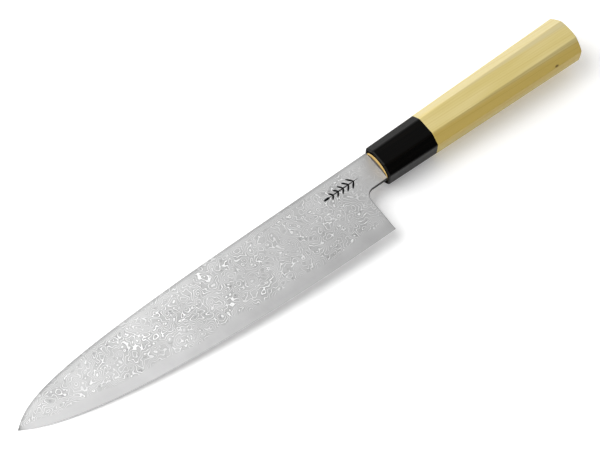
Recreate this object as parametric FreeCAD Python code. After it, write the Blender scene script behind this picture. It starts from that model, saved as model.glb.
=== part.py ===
import FreeCAD, Part
import math
import os

# Chef's knife with an octagonal wooden handle. Lengths are in millimetres.
# X runs from the tip to the butt, Y from the edge to the spine and Z out of the
# blade's left face. The origin is the middle of the ferrule's front face, on the
# handle's axis and in the blade's middle plane.

# Blade outline. Each curve is a cubic Bezier that runs from the handle side to the tip.
SPINE_Y = 10.6
SPINE_FLAT_END_X = -60.0
TIP_X = -254.5
TIP_Y = -9.4
SPINE_CURVE = [(SPINE_FLAT_END_X, SPINE_Y), (-222.9, SPINE_Y), (-240.2, 3.6), (TIP_X, TIP_Y)]
HEEL_X = -16.1
HEEL_Y = -37.6
EDGE_CURVE = [(HEEL_X, HEEL_Y), (-60.0, -37.6), (-212.5, -36.3), (TIP_X, TIP_Y)]

# Neck and the rounded corner of the notch between it and the heel.
NECK_BOTTOM_Y = -9.8
NOTCH_RADIUS = 5.5

# Blade thickness. A section narrows from the spine to the edge along a convex line.
NECK_THICKNESS = 2.9
HEEL_THICKNESS = 2.4
TIP_THICKNESS = 0.8
GRIND_POWER = 2.0
NECK_GRIND_POWER = 7.0
GRIND_START_X = -34.0
GRIND_POINTS = 7
CORE_THICKNESS = 0.54

# Tang, as height and thickness at each end.
TANG_LENGTH = 104.0
TANG_ROOT = (13.0, 2.9)
TANG_END = (6.0, 1.8)
TANG_NOSE = 2.5

# Handle. An octagon is its height, its thickness, and the two legs of its cut corners,
# along the height and along the thickness. The legs keep their ratio, so the sides are flat.
HANDLE_LENGTH = 147.0
FERRULE_LENGTH = 35.5
FRONT_OCTAGON = (22.8, 20.4, 5.76, 4.8)
BUTT_OCTAGON = (28.6, 22.1, 7.38, 6.15)
FRONT_ROUNDING = 1.1
BUTT_DOME_RADIUS = 45.0
BUTT_ROUNDING = 0.4
LONG_EDGE_ROUNDING = 0.4

# Tenon of the handle, an oval that fills the ferrule's hole up to a little short of its mouth.
TENON_RECESS = 0.2
TENON_HALF_HEIGHT = 9.9
TENON_HALF_WIDTH = 7.7
GLUE_GAP = 0.05

# Slot for the tang and the resin around it. An oval pad of resin lies on the tenon's front.
SLOT_WIDTH = 3.5
SLOT_HEIGHT_GAP = 0.5
SLOT_END_GAP = 4.0
PAD_HALF_HEIGHT = 9.3
PAD_HALF_WIDTH = 4.0

# Blocks that cut shapes reach this far past them. The grip is made a little too long, and
# the last stretch of it is cut to the dome.
REACH = 80.0
SPARE_LENGTH = 3.0
BUTT_CUT_LENGTH = 15.0


def bezier_point(poles, t):
    """Point at t on the cubic Bezier with these poles."""
    weights = [(1 - t) ** 3, 3 * t * (1 - t) ** 2, 3 * t * t * (1 - t), t ** 3]
    x = sum(w * p[0] for w, p in zip(weights, poles))
    y = sum(w * p[1] for w, p in zip(weights, poles))
    return x, y


def curve_height(poles, x):
    """Height Y of a curve at X, found by halving. X falls all the way along it."""
    low, high = 0.0, 1.0
    for _ in range(50):
        middle = (low + high) / 2
        if bezier_point(poles, middle)[0] > x:
            low = middle
        else:
            high = middle
    return bezier_point(poles, low)[1]


def spine_height(x):
    if x >= SPINE_FLAT_END_X:
        return SPINE_Y
    return curve_height(SPINE_CURVE, x)


def edge_height(x):
    if x >= HEEL_X:
        return HEEL_Y
    return curve_height(EDGE_CURVE, x)


def spine_thickness(x):
    """Thickness at the spine: quick taper along the neck, then slow taper to the tip."""
    if x >= HEEL_X:
        share = x / HEEL_X
        return NECK_THICKNESS + (HEEL_THICKNESS - NECK_THICKNESS) * share
    share = (x - HEEL_X) / (TIP_X - HEEL_X)
    return HEEL_THICKNESS + (TIP_THICKNESS - HEEL_THICKNESS) * share


def grind_power(x):
    """How quickly a section reaches full thickness. It is blunt at the neck."""
    if x <= GRIND_START_X:
        return GRIND_POWER
    share = 1 - x / GRIND_START_X
    return GRIND_POWER + (NECK_GRIND_POWER - GRIND_POWER) * share ** 2


def blade_section(x):
    """Closed section across the blade at X: left face, spine and right face."""
    top, bottom = spine_height(x), edge_height(x)
    half = spine_thickness(x) / 2
    left, right = [], []
    for step in range(GRIND_POINTS):
        rise = step / (GRIND_POINTS - 1)
        depth = half * (1 - (1 - rise) ** grind_power(x))
        y = bottom + (top - bottom) * rise
        left.append(FreeCAD.Vector(x, y, depth))
        right.append(FreeCAD.Vector(x, y, -depth))
    left_curve = Part.BSplineCurve()
    left_curve.interpolate(left)
    right_curve = Part.BSplineCurve()
    right_curve.interpolate(right[::-1])
    spine = Part.makeLine(left[-1], right[-1])
    return Part.Wire([left_curve.toShape(), spine, right_curve.toShape()])


def ground_blade():
    """Blade with its full depth from the tip to the ferrule, before the notch."""
    stations = [0.0, -5.0, -10.0, HEEL_X, -24.0, GRIND_START_X, -60.0, -90.0, -120.0, -150.0]
    stations += [-175.0, -195.0, -212.0, -226.0, -237.0, -245.0, -250.0, -253.0]
    sections = [blade_section(x) for x in stations]
    point = Part.Vertex(TIP_X, TIP_Y, 0)
    return Part.makeLoft(sections + [point], True, False)


def notch():
    """Block that cuts away everything below the neck, behind the heel."""
    corner_y = NECK_BOTTOM_Y - NOTCH_RADIUS
    corner_x = HEEL_X + NOTCH_RADIUS
    lean = NOTCH_RADIUS * math.sqrt(0.5)
    start = FreeCAD.Vector(HEEL_X, corner_y, -REACH)
    middle = FreeCAD.Vector(corner_x - lean, corner_y + lean, -REACH)
    end = FreeCAD.Vector(corner_x, NECK_BOTTOM_Y, -REACH)
    rest = [
        end,
        FreeCAD.Vector(REACH, NECK_BOTTOM_Y, -REACH),
        FreeCAD.Vector(REACH, -REACH, -REACH),
        FreeCAD.Vector(HEEL_X, -REACH, -REACH),
        start,
    ]
    edges = [Part.Arc(start, middle, end).toShape()]
    for first, second in zip(rest, rest[1:]):
        edges.append(Part.makeLine(first, second))
    return Part.Face(Part.Wire(edges)).extrude(FreeCAD.Vector(0, 0, 2 * REACH))


def solid_from_rings(rings):
    """Solid with flat sides between rings of points. The rings follow each other along X,
    and each has the same count of points, turning from Y towards Z."""
    count = len(rings[0])
    front, back = rings[0][::-1], rings[-1]
    outlines = [front + front[:1], back + back[:1]]
    for near, far in zip(rings, rings[1:]):
        for i in range(count):
            j = (i + 1) % count
            outlines.append([near[i], near[j], far[j], far[i], near[i]])
    faces = [Part.Face(Part.makePolygon(outline)) for outline in outlines]
    return Part.Solid(Part.Shell(faces))


def rectangle(x, height, width):
    """Corners of a rectangle centred on the handle's axis."""
    corners = [(1, 1), (-1, 1), (-1, -1), (1, -1)]
    return [FreeCAD.Vector(x, a * height / 2, b * width / 2) for a, b in corners]


def octagon(x):
    """Corners of the handle's section at X. It grows evenly from the front to the butt."""
    share = x / HANDLE_LENGTH
    sizes = [a + (b - a) * share for a, b in zip(FRONT_OCTAGON, BUTT_OCTAGON)]
    height, thickness = sizes[0] / 2, sizes[1] / 2
    quarter = [(height, thickness - sizes[3]), (height - sizes[2], thickness)]
    corners = quarter + [(-y, z) for y, z in reversed(quarter)]
    corners += [(-y, -z) for y, z in corners]
    return [FreeCAD.Vector(x, y, z) for y, z in corners]


def tang():
    """Tapered bar with a narrowed nose, from the ferrule's face into the handle."""
    nose_x = TANG_LENGTH - TANG_NOSE
    return solid_from_rings([
        rectangle(0, *TANG_ROOT),
        rectangle(nose_x, *TANG_END),
        rectangle(TANG_LENGTH, TANG_END[0] / 2, TANG_END[1] / 2),
    ])


def blade():
    """Blade, neck and tang as one shape."""
    ground = ground_blade().cut(notch())
    return ground.fuse(tang()).removeSplitter()


def layer(shape, bottom, top):
    """The part of a shape that lies between two heights along Z."""
    size = 2 * (abs(TIP_X) + HANDLE_LENGTH)
    corner = FreeCAD.Vector(-size / 2, -size / 2, bottom)
    block = Part.makeBox(size, size, top - bottom, corner)
    return shape.common(block).Solids[0]


def oval_bar(start, end, half_height, half_width):
    """Bar with an oval section along the handle's axis."""
    centre = FreeCAD.Vector(start, 0, 0)
    high = FreeCAD.Vector(start, half_height, 0)
    wide = FreeCAD.Vector(start, 0, half_width)
    oval = Part.Ellipse(high, wide, centre).toShape()
    face = Part.Face(Part.Wire([oval]))
    return face.extrude(FreeCAD.Vector(end - start, 0, 0))


def slot():
    """Tapered slot for the tang. It is closer to the tang at its mouth."""
    mouth = TANG_ROOT[0] + SLOT_HEIGHT_GAP
    end = TANG_END[0] + 2 * SLOT_HEIGHT_GAP
    length = TANG_LENGTH + SLOT_END_GAP
    return solid_from_rings([rectangle(0, mouth, SLOT_WIDTH), rectangle(length, end, SLOT_WIDTH)])


def edges_between(shape, low, high):
    """Edges whose ends both lie between two places along the handle."""
    found = []
    for edge in shape.Edges:
        if all(low < vertex.Point.x < high for vertex in edge.Vertexes):
            found.append(edge)
    return found


def lengthwise_edges(shape):
    """Edges that run along the handle."""
    return [e for e in shape.Edges if abs(e.Vertexes[0].Point.x - e.Vertexes[-1].Point.x) > 1]


def ferrule():
    """Horn collar in front of the handle, with an oval hole right through."""
    body = solid_from_rings([octagon(0), octagon(FERRULE_LENGTH)])
    body = body.makeFillet(LONG_EDGE_ROUNDING, lengthwise_edges(body))
    body = body.makeFillet(FRONT_ROUNDING, edges_between(body, -1, 1))
    half_height = TENON_HALF_HEIGHT + GLUE_GAP
    half_width = TENON_HALF_WIDTH + GLUE_GAP
    return body.cut(oval_bar(-1, FERRULE_LENGTH + 1, half_height, half_width))


def domed(grip):
    """The grip cut off by a ball, so that its butt bulges. The ball's seam is at its back."""
    centre = FreeCAD.Vector(HANDLE_LENGTH - BUTT_DOME_RADIUS, 0, 0)
    ball = Part.makeSphere(BUTT_DOME_RADIUS, centre, FreeCAD.Vector(0, 0, 1))
    ball.rotate(centre, FreeCAD.Vector(0, 0, 1), 180)
    corner = FreeCAD.Vector(HANDLE_LENGTH - BUTT_CUT_LENGTH, -REACH / 2, -REACH / 2)
    end = Part.makeBox(2 * BUTT_CUT_LENGTH, REACH, REACH, corner)
    return grip.cut(end.cut(ball))


def handle():
    """Wooden grip with a domed butt, its tenon and the slot for the tang."""
    grip = solid_from_rings([octagon(FERRULE_LENGTH), octagon(HANDLE_LENGTH + SPARE_LENGTH)])
    grip = grip.makeFillet(LONG_EDGE_ROUNDING, lengthwise_edges(grip))
    grip = domed(grip)
    rim = edges_between(grip, HANDLE_LENGTH - BUTT_CUT_LENGTH, HANDLE_LENGTH)
    grip = grip.makeFillet(BUTT_ROUNDING, rim)
    tenon = oval_bar(TENON_RECESS, FERRULE_LENGTH, TENON_HALF_HEIGHT, TENON_HALF_WIDTH)
    return grip.fuse(tenon).cut(slot())


def tang_resin(steel):
    """Resin that fills the slot around the tang and lies in a pad over the tenon's front."""
    pad = oval_bar(0, TENON_RECESS, PAD_HALF_HEIGHT, PAD_HALF_WIDTH)
    return slot().fuse(pad).cut(steel)


def save(name, shape):
    solid = shape.Solids[0]
    solid.exportStep(os.path.join("parts", name + ".step"))
    box = solid.BoundBox
    print(name, len(shape.Solids), "valid", solid.isValid(), "volume", round(solid.Volume, 1))
    print("   ", [round(v, 2) for v in (box.XMin, box.XMax, box.YMin, box.YMax, box.ZMin, box.ZMax)])


os.makedirs("parts", exist_ok=True)
whole_blade = blade()
core_half = CORE_THICKNESS / 2
save("blade_core", layer(whole_blade, -core_half, core_half))
cladding = layer(whole_blade, core_half, REACH)
save("cladding_left", cladding)
save("cladding_right", cladding.mirror(FreeCAD.Vector(0, 0, 0), FreeCAD.Vector(0, 0, 1)))
save("ferrule", ferrule())
save("handle", handle())
save("tang_resin", tang_resin(whole_blade))
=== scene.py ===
import math

import bmesh
import bpy
import numpy as np
from bpy.props import FloatProperty, FloatVectorProperty, PointerProperty
from bpy.types import Operator, Panel, PropertyGroup
from mathutils import Matrix, Vector


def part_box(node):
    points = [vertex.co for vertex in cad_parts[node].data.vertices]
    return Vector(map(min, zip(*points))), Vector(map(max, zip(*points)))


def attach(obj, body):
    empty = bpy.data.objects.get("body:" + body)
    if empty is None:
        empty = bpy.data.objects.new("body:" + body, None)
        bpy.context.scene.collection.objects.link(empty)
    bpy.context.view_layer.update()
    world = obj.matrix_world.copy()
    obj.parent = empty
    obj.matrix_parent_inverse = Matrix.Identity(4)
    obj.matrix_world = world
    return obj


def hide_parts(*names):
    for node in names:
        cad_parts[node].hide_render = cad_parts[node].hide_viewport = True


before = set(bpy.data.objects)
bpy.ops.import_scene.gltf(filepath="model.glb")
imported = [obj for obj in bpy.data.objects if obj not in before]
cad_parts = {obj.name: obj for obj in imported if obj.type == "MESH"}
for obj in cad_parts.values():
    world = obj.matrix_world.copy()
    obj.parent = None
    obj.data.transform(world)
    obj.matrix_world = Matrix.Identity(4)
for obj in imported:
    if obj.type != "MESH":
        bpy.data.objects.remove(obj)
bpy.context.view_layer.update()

bl_info = {
    "name": "Chef's knife with an octagonal handle",
    "version": (1, 0, 0),
    "blender": (4, 5, 0),
    "location": "View3D > Sidebar > Knife",
    "description": "Builds the layered blade, horn ferrule, wooden handle and a pale studio stage",
    "category": "Object",
}

MM = 0.001
CORE_LOW, CORE_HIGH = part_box("blade_core")
FERRULE_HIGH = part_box("ferrule")[1]
HANDLE_LOW, HANDLE_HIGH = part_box("handle")


# ---------------------------------------------------------------- sizes and colours


def metres(name, description, default):
    """A length that the panel shows in the scene's units."""
    return FloatProperty(name=name, description=description, default=default, unit="LENGTH", precision=4)


def tint(name, description, default):
    """A colour in linear light."""
    return FloatVectorProperty(
        name=name, description=description, default=default, subtype="COLOR", size=3, min=0, max=1)


class BladeSizes(PropertyGroup):
    """Sizes of the blade, its neck and its tang."""

    tip_x: metres("Tip", "Place of the tip along the knife", CORE_LOW.x)
    tip_y: metres("Tip height", "Height of the tip beside the handle's axis", -9.4 * MM)
    spine_y: metres("Spine", "Height of the straight part of the spine", CORE_HIGH.y)
    heel_x: metres("Heel", "Place of the heel along the knife", -16.1 * MM)
    heel_y: metres("Heel depth", "Height of the heel's corner", CORE_LOW.y)
    neck_y: metres("Neck underside", "Height of the neck's lower side", -9.8 * MM)
    notch_radius: metres("Notch radius", "Radius between the heel's wall and the neck", 5.5 * MM)
    neck_thickness: metres("Neck thickness", "Thickness where the blade enters the ferrule", 2.9 * MM)
    heel_thickness: metres("Heel thickness", "Thickness of the spine above the heel", 2.4 * MM)
    tip_thickness: metres("Tip thickness", "Thickness that the spine tapers to at the tip", 0.8 * MM)
    band: metres("Bare core", "Mean depth of the core that shows along the edge", 7.1 * MM)
    rounding: metres("Spine rounding", "Radius along the spine, the neck and the heel's wall", 0.3 * MM)
    tang_length: metres("Tang length", "How far the tang reaches into the handle", CORE_HIGH.x)


class HandleSizes(PropertyGroup):
    """Sizes of the ferrule and the handle."""

    ferrule_length: metres("Ferrule length", "Length of the horn ferrule", FERRULE_HIGH.x)
    length: metres("Handle length", "Length of ferrule and handle together", HANDLE_HIGH.x)
    front_height: metres("Front height", "Height of the octagon at the ferrule's face", 22.8 * MM)
    front_thickness: metres("Front thickness", "Thickness of the octagon at the ferrule's face", 20.4 * MM)
    butt_height: metres("Butt height", "Height of the octagon at the butt", 28.6 * MM)
    butt_thickness: metres("Butt thickness", "Thickness of the octagon at the butt", 22.1 * MM)
    front_cut: metres("Front corner cut", "Leg of the cut corners along the height, in front", 5.76 * MM)
    butt_cut: metres("Butt corner cut", "Leg of the cut corners along the height, at the butt", 7.38 * MM)
    cut_ratio: FloatProperty(
        name="Cut ratio", description="The cut's leg along the height over that along the thickness",
        default=1.2, precision=3)
    dome_radius: metres("Butt dome", "Radius of the butt's bulge", 45.0 * MM)
    tenon_height: metres("Tenon half height", "Half height of the oval tenon", 9.9 * MM)
    tenon_width: metres("Tenon half width", "Half width of the oval tenon", 7.7 * MM)
    slot_height: metres("Slot half height", "Half height of the tang slot at its mouth", 6.75 * MM)
    slot_width: metres("Slot half width", "Half width of the tang slot", 1.75 * MM)


class Finishes(PropertyGroup):
    """Colours of the knife's materials and the floor."""

    steel_dark: tint("Dark layers", "Colour of the dull layers of the cladding", (0.2, 0.2, 0.2))
    steel_light: tint("Bright layers", "Colour of the bright layers of the cladding", (0.98, 0.98, 0.98))
    core: tint("Core steel", "Colour of the bare core along the edge", (0.62, 0.62, 0.62))
    horn: tint("Horn", "Colour of the dark horn", (0.0022, 0.0021, 0.002))
    wood: tint("Wood", "Main colour of the wood", (0.56, 0.46, 0.17))
    floor: tint("Floor", "Colour of the stage's floor", (0.9, 0.9, 0.9))


# ---------------------------------------------------------------- meshes


def new_piece(name, points, faces, material, node, sharp_degrees=32.0, masks=None):
    """Makes a piece from points and faces, merges doubled points, shades it smooth with sharp
    edges above an angle, gives it a material, and lets it stand for a CAD node. masks maps the name
    of a point attribute to a function of the points' x and y."""
    mesh = bpy.data.meshes.new(name)
    mesh.from_pydata(points.reshape(-1, 3).tolist(), [], faces.tolist())
    work = bmesh.new()
    work.from_mesh(mesh)
    bmesh.ops.remove_doubles(work, verts=work.verts, dist=2e-7)
    bmesh.ops.dissolve_degenerate(work, edges=work.edges, dist=1e-8)
    bmesh.ops.recalc_face_normals(work, faces=work.faces)
    work.to_mesh(mesh)
    work.free()
    mesh.shade_smooth()
    mesh.set_sharp_from_angle(angle=math.radians(sharp_degrees))
    mesh.materials.append(material)
    place = np.empty(len(mesh.vertices) * 3)
    mesh.vertices.foreach_get("co", place)
    place = place.reshape(-1, 3)
    for key, mask in (masks or {}).items():
        layer = mesh.attributes.new(key, "FLOAT", "POINT")
        layer.data.foreach_set("value", mask(place[:, 0], place[:, 1]))
    piece = bpy.data.objects.new(name, mesh)
    bpy.context.scene.collection.objects.link(piece)
    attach(piece, "root")
    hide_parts(node)
    return piece


def grid_faces(rows, columns, wrap_rows=False, wrap_columns=False):
    """Four corners of each cell of a grid whose points are numbered row by row."""
    r = np.arange(rows if wrap_rows else rows - 1)
    c = np.arange(columns if wrap_columns else columns - 1)
    r, c = np.meshgrid(r, c, indexing="ij")
    r2, c2 = (r + 1) % rows, (c + 1) % columns
    corners = [r * columns + c, r * columns + c2, r2 * columns + c2, r2 * columns + c]
    return np.stack(corners, axis=-1)


def slab(x, y, top, bottom, kept):
    """Closed slab over a grid of points (x, y): one sheet at the height top, one at the height
    bottom, and a wall wherever a kept cell has no kept neighbour."""
    rows, columns = x.shape
    points = np.concatenate([
        np.stack([x, y, top], axis=-1).reshape(-1, 3),
        np.stack([x, y, bottom], axis=-1).reshape(-1, 3)])
    under = rows * columns
    cells = grid_faces(rows, columns)[kept]
    number = np.arange(under).reshape(rows, columns)
    padded = np.pad(kept, 1)
    walls = []
    along = padded[1:, 1:-1] != padded[:-1, 1:-1]
    r, c = np.nonzero(along)
    walls.append(np.stack([number[r, c], number[r, c + 1]], axis=-1))
    across = padded[1:-1, 1:] != padded[1:-1, :-1]
    r, c = np.nonzero(across)
    walls.append(np.stack([number[r, c], number[r + 1, c]], axis=-1))
    edge = np.concatenate(walls)
    wall = np.stack([edge[:, 0], edge[:, 1], edge[:, 1] + under, edge[:, 0] + under], axis=-1)
    return points, np.concatenate([cells, cells[:, ::-1] + under, wall])


def ease(values):
    """Spaces values from 0 to 1 closer together near both ends, as half a cosine wave."""
    return (1 - np.cos(np.pi * values)) / 2


# ---------------------------------------------------------------- blade


CURVE_START_X = -60.0 * MM
SPINE_POLES = ((-222.9 * MM, CORE_HIGH.y), (-240.2 * MM, 3.6 * MM))
EDGE_POLES = ((-60.0 * MM, -37.6 * MM), (-212.5 * MM, -36.3 * MM))


def bezier_heights(poles, x):
    """Height of a cubic Bezier with these poles at each x. x falls all the way along it."""
    t = np.linspace(0, 1, 2001)[:, None]
    p = [np.array(pole) for pole in poles]
    line = (1 - t) ** 3 * p[0] + 3 * t * (1 - t) ** 2 * p[1] + 3 * t * t * (1 - t) * p[2] + t ** 3 * p[3]
    return np.interp(-x, -line[:, 0], line[:, 1])


def spine_height(x, sizes):
    """Straight from the handle, then one curve down to the tip."""
    poles = ((CURVE_START_X, sizes.spine_y), *SPINE_POLES, (sizes.tip_x, sizes.tip_y))
    curve = bezier_heights(poles, np.minimum(x, CURVE_START_X))
    return np.where(x >= CURVE_START_X, sizes.spine_y, curve)


def edge_height(x, sizes):
    """One long curve from the heel, nearly flat at first, up to the tip."""
    poles = ((sizes.heel_x, sizes.heel_y), *EDGE_POLES, (sizes.tip_x, sizes.tip_y))
    curve = bezier_heights(poles, np.minimum(x, sizes.heel_x))
    return np.where(x >= sizes.heel_x, sizes.heel_y, curve)


# Height in mm, length in mm and turn in radians of each wave of the cladding's lower border.
CLAD_WAVES = ((1.05, 44.0, 0.4), (0.75, 96.0, 2.1), (0.42, 17.3, 1.0), (0.25, 7.9, 0.3), (0.12, 3.1, 2.2))
BAND_SHARE = 0.42
BAND_GAIN = 1.02


def clad_height(x, sizes):
    """Where the cladding ends on the face: the edge plus the bare band, whose depth wavers by a
    few waves of different lengths. Towards the tip the band shrinks with the blade."""
    wave = sum(a * np.sin(2 * np.pi * x / (length * MM) + turn) for a, length, turn in CLAD_WAVES)
    low, high = edge_height(x, sizes), spine_height(x, sizes)
    band = sizes.band + wave * MM
    room = BAND_SHARE * (high - low)
    return low + band * room / np.hypot(band, room) * BAND_GAIN


def notch_distance(x, y, sizes):
    """Distance from the notch behind the heel, a corner rounded by its radius."""
    a = sizes.heel_x + sizes.notch_radius - x
    b = y - (sizes.neck_y - sizes.notch_radius)
    outside = np.hypot(np.maximum(a, 0), np.maximum(b, 0))
    return outside - sizes.notch_radius + np.minimum(np.maximum(a, b), 0)


def rounded(depth, distance, radius):
    """Lowers a face near its border so that the corner there is a quarter circle."""
    gap = np.clip(radius - distance, 0, radius)
    return depth - (radius - np.sqrt(radius ** 2 - gap ** 2))


GRIND_POWER = 2.0
NECK_GRIND_POWER = 7.0
GRIND_START_X = -34.0 * MM


def face_depth(x, y, sizes):
    """Half thickness of the ground blade. It rises from the edge to the spine as
    1 - (1 - u) ^ power, and the power grows in the neck, which is nearly parallel."""
    low, high = edge_height(x, sizes), spine_height(x, sizes)
    to_tip = np.clip((x - sizes.heel_x) / (sizes.tip_x - sizes.heel_x), 0, 1)
    in_neck = np.clip(1 - x / sizes.heel_x, 0, 1)
    thickness = sizes.heel_thickness + (sizes.tip_thickness - sizes.heel_thickness) * to_tip
    thickness = thickness + (sizes.neck_thickness - sizes.heel_thickness) * in_neck
    near_neck = np.clip(1 - x / GRIND_START_X, 0, 1) ** 2
    power = GRIND_POWER + (NECK_GRIND_POWER - GRIND_POWER) * near_neck
    u = np.clip((y - low) / np.maximum(high - low, 1e-6), 0, 1)
    return thickness / 2 * (1 - (1 - u) ** power)


TANG_NOSE = 2.5 * MM
TANG_ROOT_HALF_HEIGHT = 6.5 * MM
TANG_END_HALF_HEIGHT = 3.0 * MM
TANG_END_HALF_THICKNESS = 0.9 * MM


def tang_half(x, root, end, sizes):
    """Half size of the tang. It shrinks evenly from the root to the nose, and in the nose to half
    of what it is there."""
    nose = sizes.tang_length - TANG_NOSE
    even = root + (end - root) * np.clip(x / nose, 0, 1)
    return np.where(x > nose, end * (1 - (x - nose) / TANG_NOSE / 2), even)


TIP_REACH = 14.0 * MM
HEEL_STEPS = np.array([0, 0.03, 0.07, 0.12, 0.18, 0.25, 0.32, 0.5, 0.75]) * MM


def blade_stations(sizes):
    """Places along the knife where the blade's grid has a line, from the tang's end to the tip.
    They are close together at the notch and at the tip."""
    radius = sizes.notch_radius
    corner = sizes.heel_x + radius
    tip_start = sizes.tip_x + TIP_REACH
    nose = sizes.tang_length - TANG_NOSE
    return np.concatenate([
        [sizes.tang_length],
        np.linspace(nose, 0, 24)[:-1],
        np.linspace(0, corner, 24)[:-1],
        corner - radius * np.sin(np.linspace(0, np.pi / 2, 22))[:-1],
        sizes.heel_x - HEEL_STEPS,
        np.linspace(sizes.heel_x - 1.1 * MM, tip_start, 410)[:-1],
        sizes.tip_x + TIP_REACH * (1 - np.linspace(0, 1, 40)) ** 1.5])


def blade_grid(sizes, lower):
    """Grid of points over the blade's outline, neck and tang. Its rows run lengthwise: from the
    lower border, through the notch's corner and the tang's two sides, to the spine. The last value
    says which cells are steel: behind the heel only those above the notch, in the handle only the
    tang's. lower is the height of the lowest row in front of the heel."""
    x = blade_stations(sizes)
    corner_y = sizes.neck_y - sizes.notch_radius
    into = np.clip(sizes.heel_x + sizes.notch_radius - x, 0, sizes.notch_radius)
    roof = corner_y + np.sqrt(sizes.notch_radius ** 2 - into ** 2)
    spine = spine_height(x, sizes)
    at_heel = np.interp(sizes.heel_x, x[::-1], lower[::-1])
    front = x <= sizes.heel_x

    def row(y, behind):
        """Heights of a row. In front of the heel it keeps its share of the way to the spine."""
        share = (y - at_heel) / (sizes.spine_y - at_heel)
        return np.where(front, lower + (spine - lower) * share, behind)

    root = TANG_ROOT_HALF_HEIGHT
    half = np.where(x > 0, tang_half(x, root, TANG_END_HALF_HEIGHT, sizes), root)
    knots = [lower, row(corner_y, roof), row(-root, -half), row(root, half), spine]
    steps = [ease(np.linspace(0, 1, 18)), np.linspace(0, 1, 20) ** 1.8, np.linspace(0, 1, 14),
             1 - (1 - np.linspace(0, 1, 16)) ** 2.2]
    rows, stretch = [knots[0]], []
    for index, step in enumerate(steps):
        for q in step[1:]:
            rows.append(knots[index] + (knots[index + 1] - knots[index]) * q)
        stretch += [index] * (len(step) - 1)
    y = np.array(rows)
    stretch = np.array(stretch)[:, None]
    middle = (x[1:] + x[:-1]) / 2
    kept = (stretch > 0) | (middle < sizes.heel_x)[None, :]
    kept &= (stretch == 2) | (middle < 0)[None, :]
    return np.broadcast_to(x, y.shape), y, kept


def steel_depth(x, y, sizes):
    """Half thickness of blade, neck and tang, with the outer corners rounded."""
    ground = face_depth(x, y, sizes)
    radius = np.minimum(sizes.rounding, 0.8 * ground)
    ground = rounded(ground, np.maximum(from_border(x, y, sizes), 0), np.maximum(radius, 1e-7))
    tang = tang_half(x, sizes.neck_thickness / 2, TANG_END_HALF_THICKNESS, sizes)
    return np.where(x > 0, tang, ground)


HAIR = 0.001 * MM
EDGE_HALF = 0.01 * MM


def core_depth(x, sizes):
    """Half thickness of the core. It is the blade's own where the cladding ends on the face."""
    ahead = np.minimum(x, sizes.heel_x)
    return face_depth(ahead, clad_height(ahead, sizes), sizes)


def cladding_mesh(sizes):
    """Left cladding: from the wavering line above the edge to the spine, between the core and
    the face."""
    x = blade_stations(sizes)
    x, y, kept = blade_grid(sizes, clad_height(np.minimum(x, sizes.heel_x), sizes))
    inner = core_depth(x, sizes)
    outer = np.maximum(steel_depth(x, y, sizes), inner + HAIR)
    return slab(x, y, outer, inner, kept)


def core_mesh(sizes):
    """Core: flat under the claddings, and ground down to the edge below them."""
    x = blade_stations(sizes)
    x, y, kept = blade_grid(sizes, edge_height(np.minimum(x, sizes.heel_x), sizes))
    half = np.minimum(steel_depth(x, y, sizes), core_depth(x, sizes) - HAIR)
    half = np.maximum(half, EDGE_HALF)
    return slab(x, y, half, -half, kept)


def from_border(x, y, sizes):
    """Distance from the spine, the neck's underside and the heel's wall, whichever is nearest."""
    return np.minimum(spine_height(x, sizes) - y, notch_distance(x, y, sizes))


def blade_masks(sizes):
    """Names of the blade's point attributes, each with its function of x and y: the distance from
    the border, the distance below the spine, and the height above the line where the cladding
    ends, which is negative on the bare core."""
    return {
        "from_border": lambda x, y: from_border(x, y, sizes),
        "from_spine": lambda x, y: spine_height(x, sizes) - y,
        "from_cladding": lambda x, y: y - clad_height(np.minimum(x, sizes.heel_x), sizes)}


# ---------------------------------------------------------------- handle and ferrule


WOOD_SOFT = 0.4 * MM
HORN_SOFT = 0.9 * MM
FRONT_RIM = 1.1 * MM
BUTT_RIM = 0.75 * MM
JOINT_SOFT = 0.12 * MM
GLUE_GAP = 0.05 * MM
SLOT_END_HALF_HEIGHT = 3.5 * MM


def section(x, sizes, soft=WOOD_SOFT):
    """Y and Z of points round the octagon at x. Its sizes grow evenly to the butt. Each corner is
    a quadratic Bezier between two points a little away from it, and each side is straight."""
    share = x / sizes.length
    front = np.array([sizes.front_height / 2, sizes.front_thickness / 2, sizes.front_cut])
    butt = np.array([sizes.butt_height / 2, sizes.butt_thickness / 2, sizes.butt_cut])
    height, thickness, leg = front + (butt - front) * share
    quarter = np.array([(height, thickness - leg / sizes.cut_ratio), (height - leg, thickness)])
    half = np.concatenate([quarter, quarter[::-1] * (-1, 1)])
    corners = np.concatenate([half, -half])
    ahead = np.roll(corners, -1, axis=0) - corners
    ahead /= np.linalg.norm(ahead, axis=1, keepdims=True)
    start, end = corners - np.roll(ahead, 1, axis=0) * soft, corners + ahead * soft
    t = np.linspace(0, 1, 5)[:, None, None]
    arcs = (1 - t) ** 2 * start + 2 * t * (1 - t) * corners + t * t * end
    t = np.linspace(0, 1, 10)[1:-1, None, None]
    sides = end + (np.roll(start, -1, axis=0) - end) * t
    return np.concatenate([arcs, sides]).transpose(1, 0, 2).reshape(-1, 2)


def pulled(points, distance):
    """Points of a section moved towards the axis by a distance."""
    reach = np.linalg.norm(points, axis=1, keepdims=True)
    return points * (1 - distance / reach)


def angles(points):
    """Angle of each point round the axis."""
    return np.arctan2(points[:, 1], points[:, 0])


def box_reach(angle, height, width, crispness=24.0):
    """Distance from the axis to a rectangle with softened corners."""
    total = (np.abs(np.cos(angle)) / height) ** crispness + (np.abs(np.sin(angle)) / width) ** crispness
    return total ** (-1 / crispness)


def oval_reach(angle, height, width):
    """Distance from the axis to an oval."""
    return 1 / np.hypot(np.cos(angle) / height, np.sin(angle) / width)


def at_reach(reach, angle):
    """Y and Z at a distance from the axis."""
    return np.stack([reach * np.cos(angle), reach * np.sin(angle)], axis=-1)


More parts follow.
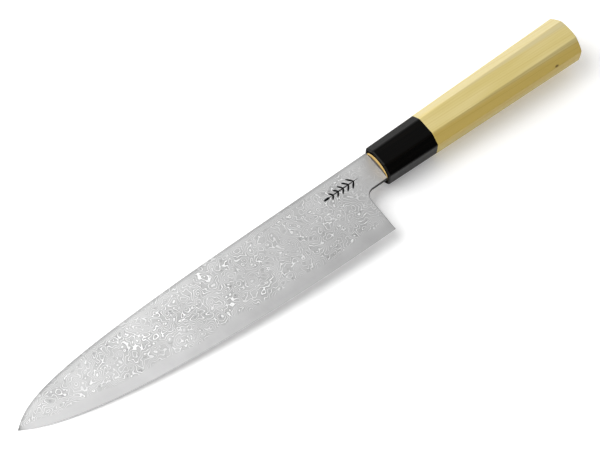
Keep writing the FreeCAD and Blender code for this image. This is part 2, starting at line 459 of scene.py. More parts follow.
def ring(x, points):
    """Ring of points at x, which is one number or one for each point."""
    return np.column_stack([np.broadcast_to(x, len(points)), points])


def quarter(count):
    """Goes round a quarter circle of radius 1 in even turns. Gives how far each point has moved from
    its start along the radius there, and how far it still has to go the other way."""
    turn = np.linspace(0, np.pi / 2, count)
    return zip(1 - np.cos(turn), 1 - np.sin(turn))


def ring_faces(rings, closed):
    """Faces between rings, and from the last ring back to the first where they close up."""
    return grid_faces(len(rings), len(rings[0]), wrap_rows=closed, wrap_columns=True).reshape(-1, 4)


def ferrule_mesh(sizes):
    """Horn collar as rings that follow its wall: outside from back to front, round the front rim,
    across the front face, and back through the oval hole."""
    rim, soft, lip = FRONT_RIM, JOINT_SOFT, 0.18 * MM
    length = sizes.ferrule_length
    back = section(length, sizes, HORN_SOFT)
    rings = [ring(length, pulled(back, 0.8 * MM))]
    for down, left in quarter(4):
        rings.append(ring(length - soft * down, pulled(back, soft * left)))
    for x in np.linspace(length - 1.0 * MM, rim + 0.5 * MM, 14):
        rings.append(ring(x, section(x, sizes, HORN_SOFT)))
    front = section(rim, sizes, HORN_SOFT)
    for down, left in quarter(10):
        rings.append(ring(rim * left, pulled(front, rim * down)))
    outer, angle = pulled(front, rim), angles(front)
    hole = oval_reach(angle, sizes.tenon_height + GLUE_GAP, sizes.tenon_width + GLUE_GAP)
    mouth = at_reach(hole + lip, angle)
    for share in (0.3, 0.7):
        rings.append(ring(0, outer + (mouth - outer) * share))
    for down, left in quarter(5):
        rings.append(ring(lip * down, at_reach(hole + lip * left, angle)))
    for x in (3 * MM, length / 2, length):
        rings.append(ring(x, at_reach(hole, angle)))
    return np.array(rings), ring_faces(rings, True)


def dome_x(reach, sizes):
    """Place along the knife of the butt's dome at a distance from the axis."""
    radius = sizes.dome_radius
    return sizes.length - radius + np.sqrt(radius ** 2 - reach ** 2)


def butt_rings(sizes):
    """Rings of the domed butt, from its middle out, and over its rim. The rim is a quadratic
    Bezier from the dome to the grip, whose middle pole is where the two would meet."""
    soft = BUTT_RIM
    edge_x = dome_x(sizes.butt_height / 2, sizes)
    edge = section(edge_x, sizes)
    reach = np.linalg.norm(edge, axis=1)
    met = dome_x(reach, sizes)
    inner = dome_x(reach - soft, sizes)
    rings = []
    for share in (0.0, 0.04, 0.2, 0.4, 0.6, 0.8, 0.93):
        part = reach * share * (1 - soft / reach)
        rings.append(ring(dome_x(part, sizes), edge * (part / reach)[:, None]))
    for t in np.linspace(0, 1, 8):
        x = (1 - t) ** 2 * inner + 2 * t * (1 - t) * met + t * t * (met - soft)
        rings.append(ring(x, pulled(edge, soft * (1 - t) ** 2)))
    return rings, met.min() - soft


def handle_mesh(sizes):
    """Wooden handle as rings from the middle of the butt, over its rim, along the grip to the
    ferrule, in to the oval tenon, along it to its front face, and down the tang's slot."""
    shoulder, soft = sizes.ferrule_length, JOINT_SOFT
    rings, grip_end = butt_rings(sizes)
    for x in np.linspace(grip_end - 1.0 * MM, shoulder + 0.8 * MM, 40):
        rings.append(ring(x, section(x, sizes)))
    front = section(shoulder, sizes)
    angle = angles(front)
    for down, left in quarter(4):
        rings.append(ring(shoulder + soft * left, pulled(front, soft * down)))
    oval = oval_reach(angle, sizes.tenon_height, sizes.tenon_width)
    edge = 0.2 * MM
    face_x = HANDLE_LOW.x
    for x in np.linspace(shoulder, face_x + edge, 6):
        rings.append(ring(x, at_reach(oval, angle)))
    for down, left in list(quarter(4))[1:]:
        rings.append(ring(face_x + edge * left, at_reach(oval - edge * down, angle)))
    mouth = box_reach(angle, sizes.slot_height, sizes.slot_width)
    for share in (0.25, 0.5, 0.75, 1.0):
        rings.append(ring(face_x, at_reach(oval - edge + (mouth - oval + edge) * share, angle)))
    end_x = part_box("tang_resin")[1].x
    end = box_reach(angle, SLOT_END_HALF_HEIGHT, sizes.slot_width)
    for share in np.linspace(0, 1, 8)[1:]:
        rings.append(ring(face_x + (end_x - face_x) * share, at_reach(mouth + (end - mouth) * share, angle)))
    rings.append(ring(end_x, np.zeros((len(angle), 2))))
    return np.array(rings), ring_faces(rings, False)


# ---------------------------------------------------------------- material helpers


def fresh_material(name):
    """New material with a lone Principled shader. Gives the material, its tree, the shader and the
    knife's own coordinates in metres."""
    material = bpy.data.materials.new(name)
    material.use_nodes = True
    tree = material.node_tree
    tree.nodes.clear()
    shader = new_node(tree, "BsdfPrincipled", {})
    new_node(tree, "OutputMaterial", {"Surface": shader.outputs["BSDF"]})
    return material, tree, shader, tree.nodes.new("ShaderNodeTexCoord").outputs["Object"]


def feed(tree, socket, value):
    """Links an output to a socket, or sets the socket's own value."""
    if isinstance(value, bpy.types.NodeSocket):
        tree.links.new(value, socket)
    else:
        socket.default_value = value


def new_node(tree, kind, inputs, **settings):
    """New node with its settings, whose inputs are fed by name or number."""
    node = tree.nodes.new("ShaderNode" + kind)
    for key, value in settings.items():
        setattr(node, key, value)
    for key, value in inputs.items():
        feed(tree, node.inputs[key], value)
    return node


def math_node(tree, operation, *values, clamp=False):
    """One step of arithmetic on sockets or numbers."""
    return new_node(tree, "Math", dict(enumerate(values)), operation=operation, use_clamp=clamp).outputs[0]


def times(tree, first, second):
    """The product of two values."""
    return math_node(tree, "MULTIPLY", first, second)


def plus_part(tree, value, factor, rest, clamp=False):
    """A value times a factor, plus the rest."""
    return math_node(tree, "MULTIPLY_ADD", value, factor, rest, clamp=clamp)


def vector_node(tree, operation, *values, out="Vector"):
    """One step of arithmetic on vectors."""
    return new_node(tree, "VectorMath", dict(enumerate(values)), operation=operation).outputs[out]


def placed(tree, vector, location=(0, 0, 0), rotation=(0, 0, 0), scale=(1, 1, 1), kind="POINT"):
    """A vector moved, turned and scaled."""
    inputs = {"Vector": vector, "Location": location, "Rotation": rotation, "Scale": scale}
    return new_node(tree, "Mapping", inputs, vector_type=kind).outputs["Vector"]


def noise(tree, vector, scale, detail=3.0, roughness=0.5, distortion=0.0, out="Fac"):
    """Cloudy noise. scale is how many lumps there are to a metre."""
    inputs = {"Vector": vector, "Scale": scale, "Detail": detail, "Roughness": roughness,
              "Distortion": distortion}
    return new_node(tree, "TexNoise", inputs).outputs[out]


def remap(tree, value, low, high, to_low=0.0, to_high=1.0, smooth=True):
    """Carries the range from low to high over to the range from to_low to to_high, and stays
    within it."""
    inputs = {"Value": value, "From Min": low, "From Max": high, "To Min": to_low, "To Max": to_high}
    kind = "SMOOTHSTEP" if smooth else "LINEAR"
    return new_node(tree, "MapRange", inputs, interpolation_type=kind).outputs["Result"]


def blend(tree, share, first, second):
    """Mixes two colours by a share."""
    first, second = (
        c if isinstance(c, bpy.types.NodeSocket) else (*c, 1.0) for c in (first, second))
    return new_node(tree, "Mix", {0: share, 6: first, 7: second}, data_type="RGBA").outputs[2]


def bump(tree, height, distance):
    """Relief from a height of 0 to 1, which stands for this distance."""
    inputs = {"Strength": 1.0, "Distance": distance, "Height": height}
    return new_node(tree, "Bump", inputs).outputs["Normal"]


def point_mask(tree, name):
    """Value of one of the piece's point attributes."""
    return new_node(tree, "Attribute", {}, attribute_name=name).outputs["Fac"]


def random_step(tree, value):
    """A random number from 0 to 1 for each whole number of a value."""
    whole = math_node(tree, "FLOOR", value)
    return new_node(tree, "TexWhiteNoise", {"W": whole}, noise_dimensions="1D").outputs["Value"]


def ramp(tree, value, stops):
    """Smooth run of greys. stops are (place, grey)."""
    node = new_node(tree, "ValToRGB", {"Fac": value})
    node.color_ramp.interpolation = "EASE"
    elements = node.color_ramp.elements
    while len(elements) < len(stops):
        elements.new(0.5)
    for element, (place, grey) in zip(elements, stops):
        element.position = place
        element.color = (grey, grey, grey, 1)
    return node.outputs["Color"]


def surface(material, tree, shader, colour, rough, relief, depth, **fixed):
    """Feeds a shader its colour, its roughness and a relief of some depth, and sets on its own
    sockets what is the same all over."""
    feed(tree, shader.inputs["Base Color"], colour)
    feed(tree, shader.inputs["Roughness"], rough)
    feed(tree, shader.inputs["Normal"], bump(tree, relief, depth))
    for key, value in fixed.items():
        shader.inputs[key.replace("_", " ")].default_value = value
    return material


def split(tree, vector):
    """The three parts of a vector."""
    return new_node(tree, "SeparateXYZ", {0: vector}).outputs


def new_group(name, inputs, outputs):
    """Empty shader group. inputs maps each name to its kind of socket, and every output is a number.
    Gives the group with the sockets of its two end nodes."""
    group = bpy.data.node_groups.new(name, "ShaderNodeTree")
    for key, kind in inputs.items():
        group.interface.new_socket(key, in_out="INPUT", socket_type="NodeSocket" + kind)
    for key in outputs:
        group.interface.new_socket(key, in_out="OUTPUT", socket_type="NodeSocketFloat")
    return group, group.nodes.new("NodeGroupInput").outputs, group.nodes.new("NodeGroupOutput").inputs


def use_group(tree, group, **values):
    """Places a shared effect in a material and feeds its inputs."""
    return new_node(tree, "Group", values, node_tree=group).outputs


# ---------------------------------------------------------------- shared effects


def scratches_group():
    """Fine hairlines left by polishing: noise drawn out along one direction, in two lengths."""
    name = "Polishing hairlines"
    if name in bpy.data.node_groups:
        return bpy.data.node_groups[name]
    group, given, result = new_group(name, {"Vector": "Vector", "Turn": "Float"}, ("Hairlines", "Clouds"))
    inputs = {"Vector": given["Vector"], "Angle": given["Turn"]}
    turned = new_node(group, "VectorRotate", inputs, rotation_type="Z_AXIS")
    fine = noise(group, placed(group, turned.outputs[0], scale=(60, 4200, 900)), 1.0, 2.0, 0.6)
    coarse = noise(group, placed(group, turned.outputs[0], scale=(25, 1500, 500)), 1.0, 2.0, 0.6)
    both = plus_part(group, fine, 0.6, times(group, coarse, 0.4))
    feed(group, result["Hairlines"], remap(group, both, 0.3, 0.7))
    feed(group, result["Clouds"], noise(group, given["Vector"], 55.0, 3.0, 0.55))
    return group


def fibres_group():
    """Long fibres along the handle: fine streaks, broad streaks and slow changes of tone."""
    name = "Lengthwise fibres"
    if name in bpy.data.node_groups:
        return bpy.data.node_groups[name]
    group, given, result = new_group(name, {"Vector": "Vector"}, ("Fine", "Broad", "Tone"))
    for key, scale, detail, roughness, distortion in (
            ("Fine", (28, 2600, 2600), 3.0, 0.6, 0.0), ("Broad", (9, 420, 420), 3.0, 0.5, 0.3),
            ("Tone", (14, 90, 90), 2.0, 0.5, 0.0)):
        drawn_out = placed(group, given["Vector"], scale=scale)
        feed(group, result[key], noise(group, drawn_out, 1.0, detail, roughness, distortion))
    return group


LEAF_BLUR = 0.06
STEM_START_X = -13.8 * MM
STEM_END_X = -35.5 * MM
STEM_Y = 0.4 * MM
STEM_WIDTH = 0.75 * MM
LEAF_PAIRS = 5
FIRST_PAIR = 0.14
PAIR_PITCH = 0.17
LEAF_TURN = math.radians(132)
FIRST_LEAF = 5.0 * MM
LEAF_LOSS = 0.45 * MM
LEAF_WIDTH = 1.2 * MM
BUD_X = -36.3 * MM
BUD_SIZE = (4.4 * MM, 1.5 * MM)


def leaf_mask(tree, vector, x, y, turn, length, width):
    """1 inside one leaf, an ellipse at (x, y) turned about Z, and 0 outside."""
    local = placed(tree, vector, location=(x, y, 0), rotation=(0, 0, turn),
                   scale=(length / 2, width / 2, 1e3), kind="TEXTURE")
    reach = vector_node(tree, "LENGTH", local, out="Value")
    return remap(tree, reach, 1.0 + LEAF_BLUR, 1.0 - LEAF_BLUR)


def sprig_mask(tree, vector):
    """A plain sprig along the blade: a thin stem, pairs of slim leaves that point to the tip and
    shorten towards it, and a bud at its end."""
    run = STEM_END_X - STEM_START_X
    total = leaf_mask(tree, vector, STEM_START_X + run / 2, STEM_Y, 0.0, -run, STEM_WIDTH)
    for i in range(LEAF_PAIRS):
        x = STEM_START_X + run * (FIRST_PAIR + PAIR_PITCH * i)
        reach = FIRST_LEAF - LEAF_LOSS * i
        for turn in (LEAF_TURN, -LEAF_TURN):
            middle = x + math.cos(turn) * reach / 2, STEM_Y + math.sin(turn) * reach / 2
            leaf = leaf_mask(tree, vector, *middle, turn, reach, LEAF_WIDTH)
            total = math_node(tree, "MAXIMUM", total, leaf)
    return math_node(tree, "MAXIMUM", total, leaf_mask(tree, vector, BUD_X, STEM_Y, 0.0, *BUD_SIZE))


# ---------------------------------------------------------------- materials


# Brightness across one layer, as places from 0 to 1 and greys.
LAYER_LINE = ((0.0, 0.42), (0.30, 0.38), (0.42, 0.14), (0.55, 0.95), (0.70, 0.95), (0.83, 0.14),
              (0.95, 0.38), (1.0, 0.42))
MEAN_LINE = 0.48
# Painted shade: dark colour on the blade's walls, in place of the dark surroundings they reflect.
WALL_PAINTED_SHADE = (0.03, 0.03, 0.03)
MARK_COLOUR = (0.006, 0.006, 0.007)
LAYER_THICKNESS = 0.09 * MM
DIMPLES_PER_METRE = 162.0
RING_PITCH = 1.0 * MM
SWIRL = 6.0 * MM
# Lumps to a metre, place and height in layers of each noise that warps the layers.
WARPS = ((75.0, (0, 0, 0), 6.0), (180.0, (3.1, 1.7, 0), 3.5), (400.0, (1.3, 2.9, 0), 1.6))
POLISH_TURN = math.radians(78)


def layer_number(tree, flat, depth):
    """Count of the layers between the blade's middle plane and a point of its face: the depth over
    a layer's thickness, warped by forging. The warp is dimples pressed into the stack at random
    spots, whose rings follow one another at an even pitch, and noise in three sizes. Both calm
    down towards the spine."""
    calm = remap(tree, point_mask(tree, "from_spine"), 0.5 * MM, 5.0 * MM, 0.6, 1.0)
    swirl = noise(tree, flat, 160.0, 1.0, 0.5, out="Color")
    swirl = vector_node(tree, "SUBTRACT", swirl, (0.5, 0.5, 0.5))
    swirl = vector_node(tree, "MULTIPLY", swirl, (SWIRL, SWIRL, 0))
    inputs = {"Vector": vector_node(tree, "ADD", flat, swirl), "Scale": DIMPLES_PER_METRE, "Smoothness": 0.35}
    dimples = new_node(tree, "TexVoronoi", inputs, feature="SMOOTH_F1")
    warp = math_node(tree, "DIVIDE", dimples.outputs["Distance"], DIMPLES_PER_METRE * RING_PITCH)
    for lumps, place, height in WARPS:
        lumpy = noise(tree, placed(tree, flat, location=place), lumps, 0.0)
        warp = plus_part(tree, lumpy, height, warp)
    count = math_node(tree, "DIVIDE", depth, LAYER_THICKNESS)
    return plus_part(tree, warp, calm, count)


def painted_wall_shade(tree, faint_at_spine):
    """How much painted shade a point gets on the walls of the notch, the heel and the spine: a dark
    colour in place of the dark surroundings they reflect. On the spine itself it can be held fainter."""
    side = remap(tree, point_mask(tree, "from_border"), 0.35 * MM, 0.15 * MM)
    if faint_at_spine:
        fainter = remap(tree, point_mask(tree, "from_spine"), 0.3 * MM, 0.8 * MM, 0.3, 1.0)
        side = times(tree, side, fainter)
    return side


def layered_steel(finishes):
    """Etched cladding. The face cuts its wavy layers along wandering lines. Every layer is a thin
    bright line between two dark ones, some stronger than others. The lines fade in patches, on the
    neck, at the spine, at the ragged border above the bare core, and a little towards the tip."""
    material, tree, shader, place = fresh_material("layered_steel")
    x, _, z = split(tree, place)
    below_spine = point_mask(tree, "from_spine")
    flat = vector_node(tree, "MULTIPLY", place, (1, 1, 0))
    layers = layer_number(tree, flat, math_node(tree, "ABSOLUTE", z))
    line = ramp(tree, math_node(tree, "FRACT", layers), LAYER_LINE)
    strength = remap(tree, random_step(tree, layers), 0.0, 1.0, 0.8, 1.25, smooth=False)
    ragged = plus_part(tree, noise(tree, flat, 260.0, 1.0), -3.0 * MM, point_mask(tree, "from_cladding"))
    tipward = remap(tree, x, -140.0 * MM, -225.0 * MM, 1.0, 0.65)
    for fade in (
            remap(tree, noise(tree, flat, 75.0, 2.0, 0.5), 0.35, 0.65, 0.5, 1.0),
            remap(tree, below_spine, 0.5 * MM, 3.0 * MM, 0.3, 1.0),
            remap(tree, x, -6.0 * MM, -30.0 * MM, 0.2, 1.0),
            remap(tree, ragged, -1.6 * MM, -0.2 * MM, 0.0, 1.0),
            tipward):
        strength = times(tree, strength, fade)
    line = plus_part(tree, math_node(tree, "SUBTRACT", line, MEAN_LINE), strength, MEAN_LINE)
    polish = use_group(tree, scratches_group(), Vector=place, Turn=POLISH_TURN)
    clouds = remap(tree, polish["Clouds"], 0.3, 0.7, -0.05, 0.05)
    # Painted shade: a darker strip just below the spine, and darker layers towards the tip, where the light
    # is strongest.
    painted_shade = remap(tree, below_spine, 0.3 * MM, 2.4 * MM, -0.2, 0.0)
    painted_shade = plus_part(tree, math_node(tree, "SUBTRACT", tipward, 1.0), 0.35, painted_shade)
    line = math_node(tree, "ADD", line, math_node(tree, "ADD", clouds, painted_shade), clamp=True)
    colour = blend(tree, line, tuple(finishes.steel_dark), tuple(finishes.steel_light))
    # Painted shade on the walls of the notch, the heel and the spine.
    colour = blend(tree, painted_wall_shade(tree, True), colour, WALL_PAINTED_SHADE)
    mark = times(tree, sprig_mask(tree, flat), math_node(tree, "GREATER_THAN", z, 0.0))
    colour = blend(tree, mark, colour, MARK_COLOUR)
    rough = plus_part(tree, line, -0.08, 0.50)
    rough = plus_part(tree, polish["Hairlines"], 0.05, rough)
    rough = plus_part(tree, mark, 0.2, rough)
    relief = plus_part(tree, polish["Hairlines"], 0.15, line)
    relief = plus_part(tree, mark, -1.5, relief)
    return surface(material, tree, shader, colour, rough, relief, 0.004 * MM, Metallic=1.0)


def core_steel(finishes):
    """Bare core: even, softly polished steel with hairlines across the edge and a faint cloudiness,
    and painted shade that darkens it a little towards the tip."""
    material, tree, shader, place = fresh_material("core_steel")
    polish = use_group(tree, scratches_group(), Vector=place, Turn=POLISH_TURN)
    light = tuple(finishes.core)
    cloudy = remap(tree, polish["Clouds"], 0.3, 0.7, 0.0, 0.65)
    share = plus_part(tree, polish["Hairlines"], 0.35, cloudy)
    core_tone = blend(tree, share, tuple(c * 0.86 for c in light), light)
    # Painted shade: the core darkens towards the tip, where the light is strongest.
    tipward = remap(tree, split(tree, place)["X"], -150.0 * MM, -235.0 * MM, 0.0, 0.7)
    core_tone = blend(tree, tipward, core_tone, tuple(c * 0.72 for c in light))
    # Painted shade on the core's walls at the notch and the heel.
    colour = blend(tree, painted_wall_shade(tree, False), core_tone, WALL_PAINTED_SHADE)
    hairlines = polish["Hairlines"]
    rough = plus_part(tree, hairlines, 0.06, 0.43)
    return surface(material, tree, shader, colour, rough, hairlines, 0.0015 * MM, Metallic=1.0)


def horn(finishes):
    """Polished dark horn: nearly black, with faint brown fibres and a soft gloss."""
    material, tree, shader, place = fresh_material("horn")
    fibres = use_group(tree, fibres_group(), Vector=place)
    base = tuple(finishes.horn)
    brown = (base[0] * 2.2, base[1] * 1.8, base[2] * 1.4)
    fine = fibres["Fine"]
    share = times(tree, remap(tree, fibres["Broad"], 0.45, 0.75), remap(tree, fine, 0.2, 0.8))
    rough = remap(tree, fine, 0.2, 0.8, 0.20, 0.30)
    return surface(material, tree, shader, blend(tree, share, base, brown), rough, fine, 0.0015 * MM,
                   Specular_IOR_Level=0.09)


def sawn_horn(finishes):
    """The ferrule's front face, cut across the horn's fibres and left less glossy."""
    material, tree, shader, place = fresh_material("sawn_horn")
    grain = noise(tree, place, 1500.0, 3.0, 0.6)
    base = tuple(finishes.horn)
    colour = blend(tree, grain, base, tuple(c * 3 for c in base))
    rough = remap(tree, grain, 0.2, 0.8, 0.6, 0.8)
    return surface(material, tree, shader, colour, rough, grain, 0.01 * MM, Specular_IOR_Level=0.0)


RING_WIDTH = 1.45 * MM
KNOT_PLACE = (125.4 * MM, -13.0 * MM, 5.2 * MM)
KNOT_SIZE = (1.5 * MM, 0.8 * MM, 0.8 * MM)
KNOT_COLOUR = (0.13, 0.07, 0.025)


def wood(finishes):
    """Pale straight-grained wood. The growth rings are planes that cross the handle at a slant and
    waver along it. Their late wood shows as fine dark lines, some stronger than others, with
    fibres and slow changes of tone over them. The wood is golden towards the edge, where the
    lines are stronger. Towards the spine it is palest, from a painted sheen. The tenon's end grain
    is darker."""
    material, tree, shader, place = fresh_material("wood")
    fibres = use_group(tree, fibres_group(), Vector=place)
    x, y, z = split(tree, place)
    drift = noise(tree, placed(tree, place, scale=(9, 45, 45)), 1.0, 1.0, 0.5)
    slant = plus_part(tree, x, 0.035, plus_part(tree, z, 0.55, y))
    rings = math_node(tree, "DIVIDE", plus_part(tree, drift, 5.0 * MM, slant), RING_WIDTH)
    within = math_node(tree, "FRACT", rings)
    late = times(tree, remap(tree, within, 0.55, 0.93), remap(tree, within, 1.0, 0.95))
    late = times(tree, late, remap(tree, random_step(tree, rings), 0.2, 1.0, smooth=False))
    depth = plus_part(tree, drift, -2.0 * MM, slant)
    heart = times(tree, remap(tree, depth, 1.2 * MM, -2.0 * MM),
                  remap(tree, depth, -13.0 * MM, -10.0 * MM, 0.1, 1.0))
    # Painted sheen: where the handle's spine side gets a paler, whiter tone.
    outer = remap(tree, depth, 12.0 * MM, 14.0 * MM)

    def toned(*gains):
        """The wood's colour, its red, green and blue each times a gain."""
        return tuple(c * gain for c, gain in zip(finishes.wood, gains))

    colour = blend(tree, remap(tree, fibres["Tone"], 0.35, 0.65), toned(1, 1, 1), toned(1.08, 1.10, 1.30))
    # Painted sheen on the spine side.
    colour = blend(tree, times(tree, outer, 0.8), colour, toned(0.98, 1.03, 1.5))
    colour = blend(tree, times(tree, heart, 0.9), colour, toned(1.02, 0.90, 0.58))
    share = times(tree, late, plus_part(tree, heart, 0.6, 0.4))
    share = plus_part(tree, remap(tree, fibres["Broad"], 0.5, 0.75), 0.18, share)
    fine = fibres["Fine"]
    share = plus_part(tree, remap(tree, fine, 0.5, 0.8), 0.18, share, clamp=True)
    colour = blend(tree, share, colour, toned(0.78, 0.64, 0.36))
    knot = placed(tree, place, location=KNOT_PLACE, scale=KNOT_SIZE, kind="TEXTURE")
    knot = vector_node(tree, "LENGTH", knot, out="Value")
    colour = blend(tree, remap(tree, knot, 1.4, 0.4), colour, KNOT_COLOUR)
    colour = blend(tree, remap(tree, x, 0.5 * MM, 0.3 * MM), colour, toned(0.88, 0.70, 0.50))
    relief = plus_part(tree, late, 0.3, fine)
    return surface(material, tree, shader, colour, remap(tree, fine, 0.2, 0.8, 0.46, 0.60), relief, 0.02 * MM,
                   IOR=1.4)


def resin():
    """Dull brown resin around the tang, slightly cloudy."""
    material, tree, shader, place = fresh_material("resin")
    clouds = noise(tree, place, 900.0, 3.0, 0.6)
    colour = blend(tree, clouds, (0.016, 0.009, 0.004), (0.045, 0.026, 0.010))
    rough = remap(tree, clouds, 0.2, 0.8, 0.45, 0.7)
    return surface(material, tree, shader, colour, rough, clouds, 0.02 * MM)


FLOOR_GLOW = 0.24


def paper(finishes):
    """Matt white paper for the stage's floor. A faint glow keeps its shadows pale."""
    material, tree, shader, place = fresh_material("floor_paper")
    grain = noise(tree, place, 35.0, 2.0, 0.5)
    light = tuple(finishes.floor)
    dark = tuple(c * 0.985 for c in light)
    feed(tree, shader.inputs["Base Color"], blend(tree, grain, dark, light))
    for key, value in (("Roughness", 0.9), ("Specular IOR Level", 0.15),
                       ("Emission Color", (1, 1, 1, 1)), ("Emission Strength", FLOOR_GLOW)):
        shader.inputs[key].default_value = value
    return material


# ---------------------------------------------------------------- operators


FACE_DEPTH = 0.02 * MM
REST_X = 0.9 * MM
FLOOR_GAP = 0.02 * MM
TIP_HALF_THICKNESS = 0.12 * MM
FLOOR_HALF_SIZE = 4.0
LIGHTS_AIM = (-0.06, 0, 0)
# Place, size and power in watts of each soft light.
LIGHTS = {
    "key_softbox": ((-0.84, 0.65, 1.35), (1.5, 1.4), 29.0),
    "fill_softbox": ((-0.9, -1.1, 0.38), (1.0, 0.6), 6.0)}


class KNIFE_OT_blade_core(Operator):
    """Builds the hard core with its bare band along the edge"""

    bl_idname = "knife.blade_core"
    bl_label = "Blade core"

    def execute(self, context):
        sizes = context.scene.knife_blade
        points, faces = core_mesh(sizes)
        new_piece("core", points, faces, core_steel(context.scene.knife_finishes), "blade_core",
                  masks=blade_masks(sizes))
        return {"FINISHED"}


class KNIFE_OT_claddings(Operator):
    """Builds the two layered claddings, the right one as the left one's mirror image"""

    bl_idname = "knife.claddings"
    bl_label = "Claddings"

    def execute(self, context):
        sizes = context.scene.knife_blade
        points, faces = cladding_mesh(sizes)
        steel = layered_steel(context.scene.knife_finishes)
        masks = blade_masks(sizes)
        new_piece("left_cladding", points, faces, steel, "cladding_left", masks=masks)
        mirrored = points * np.array([1, 1, -1])
        new_piece("right_cladding", mirrored, faces, steel, "cladding_right", masks=masks)
        return {"FINISHED"}


class KNIFE_OT_ferrule(Operator):
    """Builds the horn ferrule with its oval hole"""

    bl_idname = "knife.ferrule"
    bl_label = "Ferrule"

    def execute(self, context):
        finishes = context.scene.knife_finishes
        points, faces = ferrule_mesh(context.scene.knife_handle)
        piece = new_piece("horn_ferrule", points, faces, horn(finishes), "ferrule", 50.0)
        piece.data.materials.append(sawn_horn(finishes))
        places = np.empty(len(piece.data.polygons) * 3)
        piece.data.polygons.foreach_get("center", places)
        on_face = (places[0::3] < FACE_DEPTH).astype(np.int32)
        piece.data.polygons.foreach_set("material_index", on_face)
        return {"FINISHED"}


class KNIFE_OT_handle(Operator):
    """Builds the wooden handle with its tenon and slot"""

    bl_idname = "knife.handle"
    bl_label = "Handle"

    def execute(self, context):
        points, faces = handle_mesh(context.scene.knife_handle)
        new_piece("wooden_handle", points, faces, wood(context.scene.knife_finishes), "handle", 50.0)
        return {"FINISHED"}


class KNIFE_OT_tang_resin(Operator):
    """Gives the resin around the tang its finish"""

    bl_idname = "knife.tang_resin"
    bl_label = "Tang resin"

    def execute(self, context):
        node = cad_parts.get("tang_resin")
        if node is None:
            raise RuntimeError("the frame holds no node tang_resin")
        node.data.materials.clear()
        node.data.materials.append(resin())
        return {"FINISHED"}


class KNIFE_OT_stage(Operator):
    """Sets up the floor, the soft lights, the surroundings and the camera"""

    bl_idname = "knife.stage"
    bl_label = "Stage"

    def execute(self, context):
        scene = context.scene
        build_floor(scene)
        build_lights(scene)
        build_surroundings(scene)
        build_camera(scene)
        scene.view_settings.view_transform = "Standard"
        scene.view_settings.look = "None"
        return {"FINISHED"}


def build_floor(scene):
    """Wide floor on which the knife rests: just under the tip and the ferrule's lower front rim."""
    blade, grip = scene.knife_blade, scene.knife_handle
    front = Vector((REST_X, 0, -grip.front_thickness / 2 - FLOOR_GAP))
    tip = Vector((blade.tip_x, 0, -TIP_HALF_THICKNESS))
    along = (front - tip).normalized()
    half = FLOOR_HALF_SIZE
    centre = (front + tip) / 2
    across = Vector((0, 1, 0))
    corners = [centre + a * half * along + b * half * across for a, b in ((-1, -1), (1, -1), (1, 1), (-1, 1))]
    mesh = bpy.data.meshes.new("floor")
    mesh.from_pydata([tuple(c) for c in corners], [], [(0, 1, 2, 3)])
    mesh.materials.append(paper(scene.knife_finishes))
    floor = bpy.data.objects.new("floor", mesh)
    scene.collection.objects.link(floor)


def build_lights(scene):
    """Rectangular soft lights that face the blade."""
    for name, (place, size, power) in LIGHTS.items():
        light = bpy.data.lights.new(name, "AREA")
        light.shape = "RECTANGLE"
        light.size, light.size_y = size
        light.energy = power
        lamp = bpy.data.objects.new(name, light)
        lamp.location = place
        lamp.rotation_euler = (Vector(LIGHTS_AIM) - Vector(place)).to_track_quat("-Z", "Y").to_euler()
        scene.collection.objects.link(lamp)


def build_surroundings(scene):
    """Light tent: bright behind the knife and at its sides, dim overhead and on the near side. The
    camera itself sees plain white."""
    world = bpy.data.worlds.new("studio")
    scene.world = world
    world.use_nodes = True
    tree = world.node_tree
    tree.nodes.clear()
    _, y, z = split(tree, tree.nodes.new("ShaderNodeTexCoord").outputs["Generated"])
    behind = remap(tree, y, -0.55, 0.2, 0.04, 1.5)
    low = remap(tree, z, 0.85, 0.45, 0.22, 1.0)
    glow = times(tree, behind, low)
    seen = tree.nodes.new("ShaderNodeLightPath").outputs["Is Camera Ray"]
    strength = math_node(tree, "MAXIMUM", glow, seen)
    back = new_node(tree, "Background", {"Color": (1, 1, 1, 1), "Strength": strength})
    new_node(tree, "OutputWorld", {"Surface": back.outputs[0]})


CAMERA_TURN = (-0.44624, 0.02501, 0.65394)
CAMERA_SHIFT = (44.413 * MM, 33.586 * MM, -1072.72 * MM)
CAMERA_LENS = 111.32


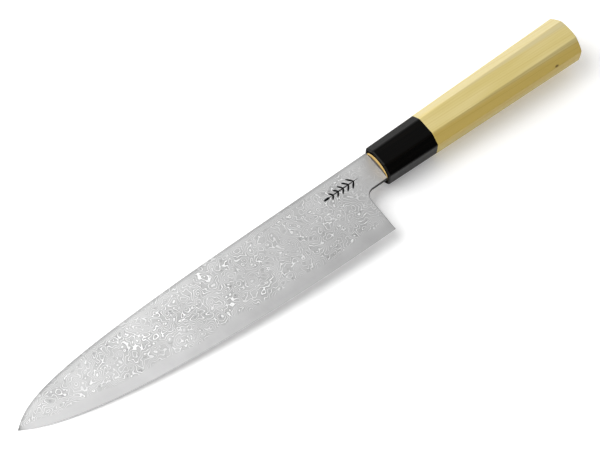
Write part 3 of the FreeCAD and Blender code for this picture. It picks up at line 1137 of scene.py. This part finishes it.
def build_camera(scene):
    """Camera above the knife's edge side, near the tip. The turns about X, Y and Z take the knife
    to the camera's axes, and the shift is the knife's origin seen from the camera."""
    turn = (Matrix.Rotation(CAMERA_TURN[0], 3, "X") @ Matrix.Rotation(CAMERA_TURN[1], 3, "Y")
            @ Matrix.Rotation(CAMERA_TURN[2], 3, "Z"))
    data = bpy.data.cameras.new("camera")
    data.sensor_width = 36.0
    data.lens = CAMERA_LENS
    data.clip_start, data.clip_end = 0.05, 50.0
    camera = bpy.data.objects.new("camera", data)
    back = turn.transposed()
    camera.matrix_world = Matrix.Translation(-(back @ Vector(CAMERA_SHIFT))) @ back.to_4x4()
    scene.collection.objects.link(camera)
    scene.camera = camera


class KNIFE_PT_panel(Panel):
    """Lists the knife's sizes, finishes and building steps"""

    bl_label = "Chef's knife"
    bl_idname = "KNIFE_PT_panel"
    bl_space_type = "VIEW_3D"
    bl_region_type = "UI"
    bl_category = "Knife"

    def draw(self, context):
        layout = self.layout
        for title, group in (("Blade", context.scene.knife_blade), ("Handle", context.scene.knife_handle),
                             ("Finishes", context.scene.knife_finishes)):
            box = layout.box()
            box.label(text=title)
            for key in group.__annotations__:
                box.prop(group, key)
        for step in STEPS:
            layout.operator(step.bl_idname)


STEPS = (KNIFE_OT_blade_core, KNIFE_OT_claddings, KNIFE_OT_ferrule, KNIFE_OT_handle, KNIFE_OT_tang_resin,
         KNIFE_OT_stage)
CLASSES = (BladeSizes, HandleSizes, Finishes, *STEPS, KNIFE_PT_panel)


def register():
    """Adds the classes, and the settings to the scene."""
    for item in CLASSES:
        bpy.utils.register_class(item)
    bpy.types.Scene.knife_blade = PointerProperty(type=BladeSizes)
    bpy.types.Scene.knife_handle = PointerProperty(type=HandleSizes)
    bpy.types.Scene.knife_finishes = PointerProperty(type=Finishes)


def unregister():
    """Takes the settings and the classes away again."""
    del bpy.types.Scene.knife_finishes
    del bpy.types.Scene.knife_handle
    del bpy.types.Scene.knife_blade
    for item in reversed(CLASSES):
        bpy.utils.unregister_class(item)


def main():
    """Builds every piece and the stage."""
    register()
    for step in STEPS:
        area, name = step.bl_idname.split(".")
        getattr(getattr(bpy.ops, area), name)()


if __name__ == "__main__":
    main()
